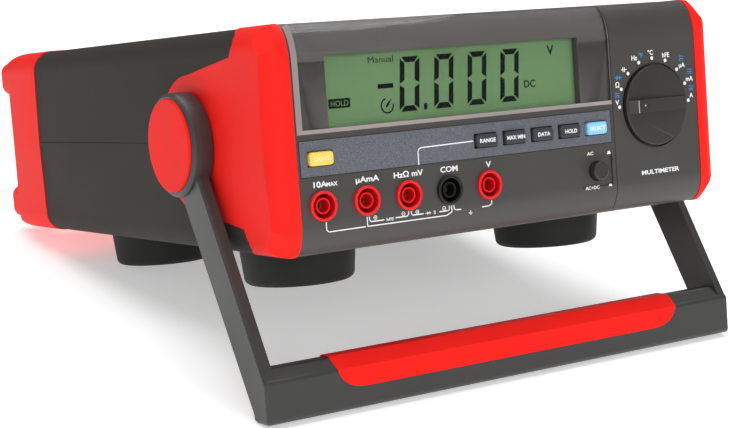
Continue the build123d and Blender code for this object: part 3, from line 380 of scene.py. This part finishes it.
# Socket names, and the brackets that join the sockets used together.
CAP = 2.1
BOLD = 0.06
BASE_Z = socket_z + 7.0
panel_white = Marks(PANEL_Y)
ampere_x, milliampere_x, resistance_x, common_x, voltage_x = socket_xs
panel_white.words("10A", ampere_x - 4.0, BASE_Z, CAP, "LEFT", BOLD, 5.8)
panel_white.words("MAX", ampere_x + 2.1, BASE_Z, 1.5, "LEFT", 0.05, 4.9)
panel_white.words("µAmA", milliampere_x + 1.0, BASE_Z, CAP, "CENTER", BOLD, 10.4)
panel_white.words("HzΩ mV", resistance_x + 0.5, BASE_Z, CAP, "CENTER", BOLD, 13.4)
panel_white.words("COM", common_x + 0.6, BASE_Z, CAP, "CENTER", BOLD, 8.1)
panel_white.words("V", voltage_x + 0.5, BASE_Z, CAP, "CENTER", BOLD, 2.5)
LINE = 0.42
LOW_Z = socket_z - 6.2
ampere_line_x = ampere_x + 0.9
milliampere_line_x = milliampere_x - 0.2
common_line_x = common_x + 0.6
for bracket in (
    [(ampere_line_x, LOW_Z), (ampere_line_x, 9.7), (ampere_x + 1.8, 8.9), (milliampere_x - 1.1, 9.0)],
    [
        (milliampere_line_x, LOW_Z), (milliampere_line_x, 9.0), (common_x - 1.9, 9.0),
        (common_line_x, 10.2), (common_line_x, LOW_Z),
    ],
    [(milliampere_x + 0.8, LOW_Z), (milliampere_x + 0.9, 11.1), (milliampere_x + 1.5, 10.6), (-63.4, 10.6)],
    [(-58.3, 10.8), (-53.0, 10.8), (-52.2, 11.5), (-52.2, LOW_Z)],
    [(-50.9, LOW_Z), (-50.9, 11.4), (-50.3, 10.9), (-45.4, 10.9)],
    [(-38.0, 10.8), (-33.7, 10.8), (-33.1, 11.4), (-33.1, LOW_Z)],
    [(-30.9, LOW_Z), (-30.9, 11.2), (-30.2, 10.7), (-27.6, 10.6)],
    [(-17.6, 10.4), (-14.0, 10.5), (-12.7, 11.3), (-12.7, LOW_Z)],
):
    panel_white.line(bracket, LINE)
panel_white.words("hFE", -60.8, 10.0, 1.1, "CENTER", 0.02, 3.2)
# Plus and minus poles.
FINE_LINE = 0.22
HAIR_LINE = 0.2
POLE_Z = 11.9
POLE_RADIUS = 0.72
for mark_x, plus in ((-67.3, True), (-54.6, False), (-48.2, True), (-35.6, False)):
    panel_white.ring(mark_x, POLE_Z, POLE_RADIUS, FINE_LINE)
    panel_white.line([(mark_x - 0.4, POLE_Z), (mark_x + 0.4, POLE_Z)], HAIR_LINE)
    if plus:
        panel_white.line([(mark_x, 11.5), (mark_x, 12.3)], HAIR_LINE)
# Diode and capacitor signs between the resistance and common sockets.
panel_white.line([(-44.6, 10.9), (-41.8, 10.9)], HAIR_LINE)
panel_white.plate([(-43.7, 10.3), (-42.6, 10.9), (-43.7, 11.5)])
panel_white.line([(-42.5, 10.3), (-42.5, 11.5)], FINE_LINE)
for plate_x in (-40.4, -39.9):
    panel_white.line([(plate_x, 10.2), (plate_x, 11.6)], FINE_LINE)
# Earth sign below the common and voltage sockets.
EARTH_X = -23.2
panel_white.line([(EARTH_X, 9.8), (EARTH_X, 8.9)], 0.25)
for half, z in ((0.9, 8.9), (0.6, 8.5), (0.25, 8.1)):
    panel_white.line([(EARTH_X - half, z), (EARTH_X + half, z)], FINE_LINE)
# Marks of the coupling button.
coupling = middle("coupling_button")
SMALL_CAP = 1.3
panel_white.words("AC", coupling.x - 3.4, coupling.z + 6.8, SMALL_CAP, "CENTER", 0.03, 3.4)
panel_white.words("AC+DC", coupling.x - 3.2, coupling.z - 7.3, SMALL_CAP, "CENTER", 0.03, 7.4)
for sign_x, sign_z, shape in (
    (coupling.x + 6.5, coupling.z + 6.4, [(-1.0, 0.0), (1.0, 0.0), (1.0, 0.5), (-1.0, 0.5)]),
    (coupling.x + 6.5, coupling.z + 6.4, [(-0.6, 0.5), (0.6, 0.5), (0.6, 1.3), (-0.6, 1.3)]),
    (coupling.x + 6.4, coupling.z - 6.9, [(-1.0, 0.0), (1.0, 0.0), (0.4, 0.9), (-0.4, 0.9)]),
):
    panel_white.plate([(sign_x + across, sign_z + up) for across, up in shape])
panel_white.piece("front_panel_marks", "chassis", ink_white)

strip_white = Marks(STRIP_Y)
strip_white.line([(-19.8, 36.6), (-44.4, 36.3), (-45.6, 35.8), (-46.0, 34.8), (-46.0, 29.8)], LINE)
strip_white.piece("key_strip_marks", "chassis", ink_white)

# Range scale round the knob.
SCALE_RADIUS = 19.2
DOT_SIZE = 0.75
SCALE_X = knob_x - 0.3
SCALE_Z = knob_z + 0.5
RANGES = 9
knob_white = Marks(PANEL_Y)
knob_blue = Marks(PANEL_Y)
for i in range(RANGES):
    turn = pi - pi * i / (RANGES - 1)
    knob_white.disc(SCALE_X + SCALE_RADIUS * cos(turn), SCALE_Z + SCALE_RADIUS * sin(turn), DOT_SIZE)
SCALE_WEIGHT = 0.05
for text, x, z, height in (
    ("V", 54.9, 44.9, 2.0), ("Ω", 55.5, 52.1, 2.1), ("Hz", 65.4, 62.8, 1.9), ("°C", 74.5, 64.5, 1.9),
    ("hFE", 83.0, 63.0, 1.9), ("µA", 91.7, 58.2, 1.9), ("mA", 95.6, 52.2, 1.9), ("A", 96.3, 45.0, 1.9),
):
    knob_white.words(text, x, z, height, "CENTER", SCALE_WEIGHT)
# Capacitor sign.
for plate_x in (59.0, 59.8):
    knob_white.line([(plate_x, 58.3), (plate_x, 60.2)], 0.4)
for wire_x in (57.9, 59.8):
    knob_white.line([(wire_x, 59.25), (wire_x + 1.1, 59.25)], 0.3)
knob_white.words("MULTIMETER", 76.4, 14.6, 1.7, "CENTER", 0.06, 21.0)
knob_blue.words("°F", 69.0, 63.6, 1.9, "CENTER", SCALE_WEIGHT)
# Signs for alternating and direct current.
WAVE_LINE = 0.36
BLUE_LINE = 0.34
for x, z in ((55.1, 48.8), (91.7, 62.0), (96.0, 56.1), (96.4, 49.0)):
    wave = [(x - 1.2, z + 0.8), (x - 0.5, z + 1.1), (x + 0.4, z + 0.7), (x + 1.2, z + 1.0)]
    knob_blue.line(wave, WAVE_LINE)
    knob_blue.line([(x - 1.2, z - 0.1), (x + 1.2, z - 0.1)], BLUE_LINE)
    knob_blue.line([(x - 1.2, z - 0.8), (x - 0.3, z - 0.8)], BLUE_LINE)
    knob_blue.line([(x + 0.3, z - 0.8), (x + 1.2, z - 0.8)], BLUE_LINE)
# Diode sign.
knob_blue.line([(54.4, 56.1), (58.3, 56.1)], BLUE_LINE)
knob_blue.plate([(55.2, 55.2), (56.7, 56.1), (55.2, 57.0)])
knob_blue.line([(56.9, 55.2), (56.9, 57.0)], WAVE_LINE)
knob_white.piece("range_scale_white", "chassis", ink_white)
knob_blue.piece("range_scale_blue", "chassis", ink_blue)

# Pointer line and dot on the grip bar of the knob.
BAR_RIDGE_X = -12.8
BAR_SLOPE = 0.066
POINTER_FROM_RIDGE = 0.5
POINTER_HALF = 2.6
SPOT_FROM_RIDGE = 4.2
ridge_y = case_box("selector_knob")[0].y
line_x = knob_x + (BAR_RIDGE_X + POINTER_FROM_RIDGE)
spot_x = knob_x + (BAR_RIDGE_X + SPOT_FROM_RIDGE)
pointer = Marks(ridge_y + POINTER_FROM_RIDGE * BAR_SLOPE)
pointer.line([(line_x, knob_z - POINTER_HALF), (line_x, knob_z + POINTER_HALF)], 0.5)
pointer.piece("knob_pointer_line", "selector", ink_pale)
spot = Marks(ridge_y + SPOT_FROM_RIDGE * BAR_SLOPE)
spot.disc(spot_x, knob_z + 0.3, 0.45)
spot.piece("knob_pointer_dot", "selector", ink_pale)

# Key names ride with their keys.
KEY_NAMES = {
    "light_key": ("LIGHT", 6.6),
    "range_key": ("RANGE", 7.6),
    "max_min_key": ("MAX MIN", 8.9),
    "data_key": ("DATA", 6.2),
    "hold_key": ("HOLD", 6.2),
    "select_key": ("SELECT", 8.2),
}
KEY_CAPITAL = 1.5
for key, (text, width) in KEY_NAMES.items():
    low, high = case_box(key)
    mark = Marks(low.y)
    base_z = (low.z + high.z) / 2 - KEY_CAPITAL / 2
    mark.words(text, (low.x + high.x) / 2, base_z, KEY_CAPITAL, "CENTER", 0.05, width)
    mark.piece(key + "_name", key, ink_cream if key == "light_key" else ink_white)

# ---------------------------------------------------------------- painted highlight on the window's bevel
# The bevelled border of the clear window gets a painted highlight: a thin, light, glossy, opaque closed skin
# over the bevel's own faces.
# It stands in for the light the clear plastic bends and reflects there. Those faces are the slanted ones: to
# the left or right, or down and to the front.
SKIN = 0.06 * MM
SLANT_FROM, SLANT_TO = 0.4, 0.9
window_mesh = frame["nodes"]["display_window"].data
to_case = CASE.to_3x3().transposed()
bevel = bmesh.new()
corners = {}
for face in window_mesh.polygons:
    facing = to_case @ face.normal
    upright = SLANT_FROM < abs(facing.x) < SLANT_TO
    lower = SLANT_FROM < -facing.z < SLANT_TO and facing.y < -SLANT_FROM
    if upright or lower:
        places = [window_mesh.vertices[i].co for i in face.vertices]
        keys = [tuple(round(value, 7) for value in place) for place in places]
        for key, place in zip(keys, places):
            if key not in corners:
                corners[key] = bevel.verts.new(place)
        bevel.faces.new([corners[key] for key in keys])
bevel.normal_update()
for vertex in bevel.verts:
    vertex.co += vertex.normal * SKIN / 3
bmesh.ops.solidify(bevel, geom=bevel.faces[:], thickness=SKIN)
bevel_mesh = bpy.data.meshes.new("window_bevel_painted_highlight")
bevel.to_mesh(bevel_mesh)
# The skin's light pinkish grey and strong gloss are painted highlight; the window itself is clear plastic.
bevel_mesh.materials.append(moulded("window bevel painted highlight", linear(146, 137, 136), 0.3, 0.8, 0.003, 0.05, shine=0.8))
window_bevel_painted_highlight = bpy.data.objects.new("window_bevel_painted_highlight", bevel_mesh)
bpy.context.scene.collection.objects.link(window_bevel_painted_highlight)
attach(window_bevel_painted_highlight, "chassis")

# ---------------------------------------------------------------- what the display shows
DIGIT_WIDTH = 9.1
DIGIT_HEIGHT = 20.9
DIGIT_LEAN = 1.8 / DIGIT_HEIGHT
SEGMENT = 2.2
SEGMENT_GAP = 0.22
DIGIT_CORNER = 0.55
DIGIT_XS = (-51.0, -35.0, -19.1, -3.1)
DIGIT_LOW_Z = 50.5
display = Marks(GLASS_Y)


def segment(x, z, shape):
    """One segment of a digit, given from the digit's lower left corner at (x, z); the digit leans right."""
    display.plate([(x + across + up * DIGIT_LEAN, z + up) for across, up in shape])


def zero(x, z):
    """The six segments round a nought."""
    wide, high, thick, gap = DIGIT_WIDTH, DIGIT_HEIGHT, SEGMENT, SEGMENT_GAP
    half = high / 2
    waist = thick * 0.6
    corner = DIGIT_CORNER
    top = high - thick
    right = wide - thick
    low, up = half - waist - gap, half + waist + gap
    for shape in (
        [(corner + gap, high), (wide - corner - gap, high), (right - gap, top), (thick + gap, top)],
        [(wide, high - corner - gap), (wide, half + gap), (right, up), (right, top - gap)],
        [(wide, corner + gap), (right, thick + gap), (right, low), (wide, half - gap)],
        [(corner + gap, 0), (thick + gap, thick), (right - gap, thick), (wide - corner - gap, 0)],
        [(0, corner + gap), (0, half - gap), (thick, low), (thick, thick + gap)],
        [(0, high - corner - gap), (thick, top - gap), (thick, up), (0, half + gap)],
    ):
        segment(x, z, shape)


for x in DIGIT_XS:
    zero(x, DIGIT_LOW_Z)
# The minus sign and the point.
display.plate([(-60.1, 60.0), (-53.1, 60.0), (-53.1, 61.8), (-60.1, 61.8)])
display.plate([(-39.7, 50.6), (-38.1, 50.6), (-38.0, 53.0), (-39.6, 53.0)])
display.words("Manual", -58.0, 69.9, 2.3, "CENTER", 0.0, 11.4)
display.words("V", 23.6, 67.9, 3.6, "CENTER", 0.12)
display.words("DC", 12.1, 55.5, 2.8, "CENTER", 0.08)
# A clock-like sign: most of a ring with a hand.
CLOCK_X, CLOCK_Z = -56.4, 53.4
CLOCK_HAND = [(-0.7, -0.9), (0.6, 0.0), (2.2, 2.6), (-0.5, 0.5)]
display.arc(CLOCK_X, CLOCK_Z, 2.75, 100, 370, 0.6)
display.plate([(CLOCK_X + across, CLOCK_Z + up) for across, up in CLOCK_HAND])
# A dark field with a light word on it.
display.plate([(-82.3, 54.1), (-72.8, 54.1), (-72.8, 57.7), (-82.3, 57.7)])
display.piece("display_segments", "chassis", ink_segment)
hold_word = Marks(GLASS_Y - 2 * Marks.THICK)
hold_word.words("HOLD", -77.5, 54.9, 2.0, "CENTER", 0.0, 7.6)
hold_word.piece("display_hold_word", "chassis", looks["lcd"])

# ---------------------------------------------------------------- floor, light and camera
FLOOR_HALF = 4.0
FLOOR_GLOW = 0.4
SKY_GLOW = 0.22
floor_mesh = bpy.data.meshes.new("floor")
floor_form = bmesh.new()
bmesh.ops.create_grid(floor_form, x_segments=8, y_segments=8, size=FLOOR_HALF)
floor_form.to_mesh(floor_mesh)
floor_form.free()
floor = bpy.data.objects.new("floor", floor_mesh)
bpy.context.scene.collection.objects.link(floor)
floor_look = Nodes("studio floor")
floor_look.shader.inputs["Base Color"].default_value = (0.88, 0.88, 0.88, 1.0)
floor_look.shader.inputs["Emission Color"].default_value = (1.0, 1.0, 1.0, 1.0)
floor_look.shader.inputs["Emission Strength"].default_value = FLOOR_GLOW
floor_gloss = floor_look.ramp(floor_look.noise(60), 0.3, 0.7, 0.7, 0.8)
floor_look.feed(floor_look.shader.inputs["Roughness"], floor_gloss)
floor_mesh.materials.append(floor_look.material)

world = bpy.data.worlds.new("studio")
world.use_nodes = True
world.node_tree.nodes["Background"].inputs["Color"].default_value = (1.0, 1.0, 1.0, 1.0)
world.node_tree.nodes["Background"].inputs["Strength"].default_value = SKY_GLOW
bpy.context.scene.world = world
bpy.context.scene.view_settings.view_transform = "Standard"


def soft_light(name, place, target, size, power, mirrored=True):
    """Studio panel light that looks at a target; glossy surfaces show it only when it is mirrored."""
    data = bpy.data.lights.new(name, "AREA")
    data.shape = "RECTANGLE"
    data.size, data.size_y = size
    data.energy = power
    lamp = bpy.data.objects.new(name, data)
    lamp.location = place
    lamp.visible_glossy = mirrored
    lamp.rotation_euler = (Vector(target) - Vector(place)).to_track_quat("-Z", "Y").to_euler()
    bpy.context.scene.collection.objects.link(lamp)


AIM = (0.0, 0.0, 0.05)
soft_light("key_light", (-1.2, -1.6, 0.95), AIM, (1.0, 1.0), 8)
soft_light("front_light", (0.25, -1.9, 0.55), AIM, (0.9, 1.1), 16, mirrored=False)
soft_light("top_light", (0.0, 0.4, 1.8), AIM, (2.4, 2.4), 44)

# The camera is placed in the level case, as seen from the front left and slightly above.
CAMERA_MM = Vector((-391.71, -518.2, 71.21))
YAW = radians(31.694)
PITCH = radians(5.387)
ROLL = radians(-4.29)
LENS = 80.17
ahead = Vector((sin(YAW) * cos(PITCH), cos(YAW) * cos(PITCH), -sin(PITCH)))
level_right = Vector((cos(YAW), -sin(YAW), 0.0))
level_up = level_right.cross(ahead)
right = cos(ROLL) * level_right + sin(ROLL) * level_up
up = -sin(ROLL) * level_right + cos(ROLL) * level_up
camera_data = bpy.data.cameras.new("camera")
camera_data.lens = LENS
camera_data.clip_start = 0.01
camera = bpy.data.objects.new("camera", camera_data)
turned = Matrix((right, up, -ahead)).transposed().to_4x4()
camera.matrix_world = CASE @ Matrix.Translation(CAMERA_MM * MM) @ turned
bpy.context.scene.collection.objects.link(camera)
bpy.context.scene.camera = camera

bpy.context.view_layer.update()
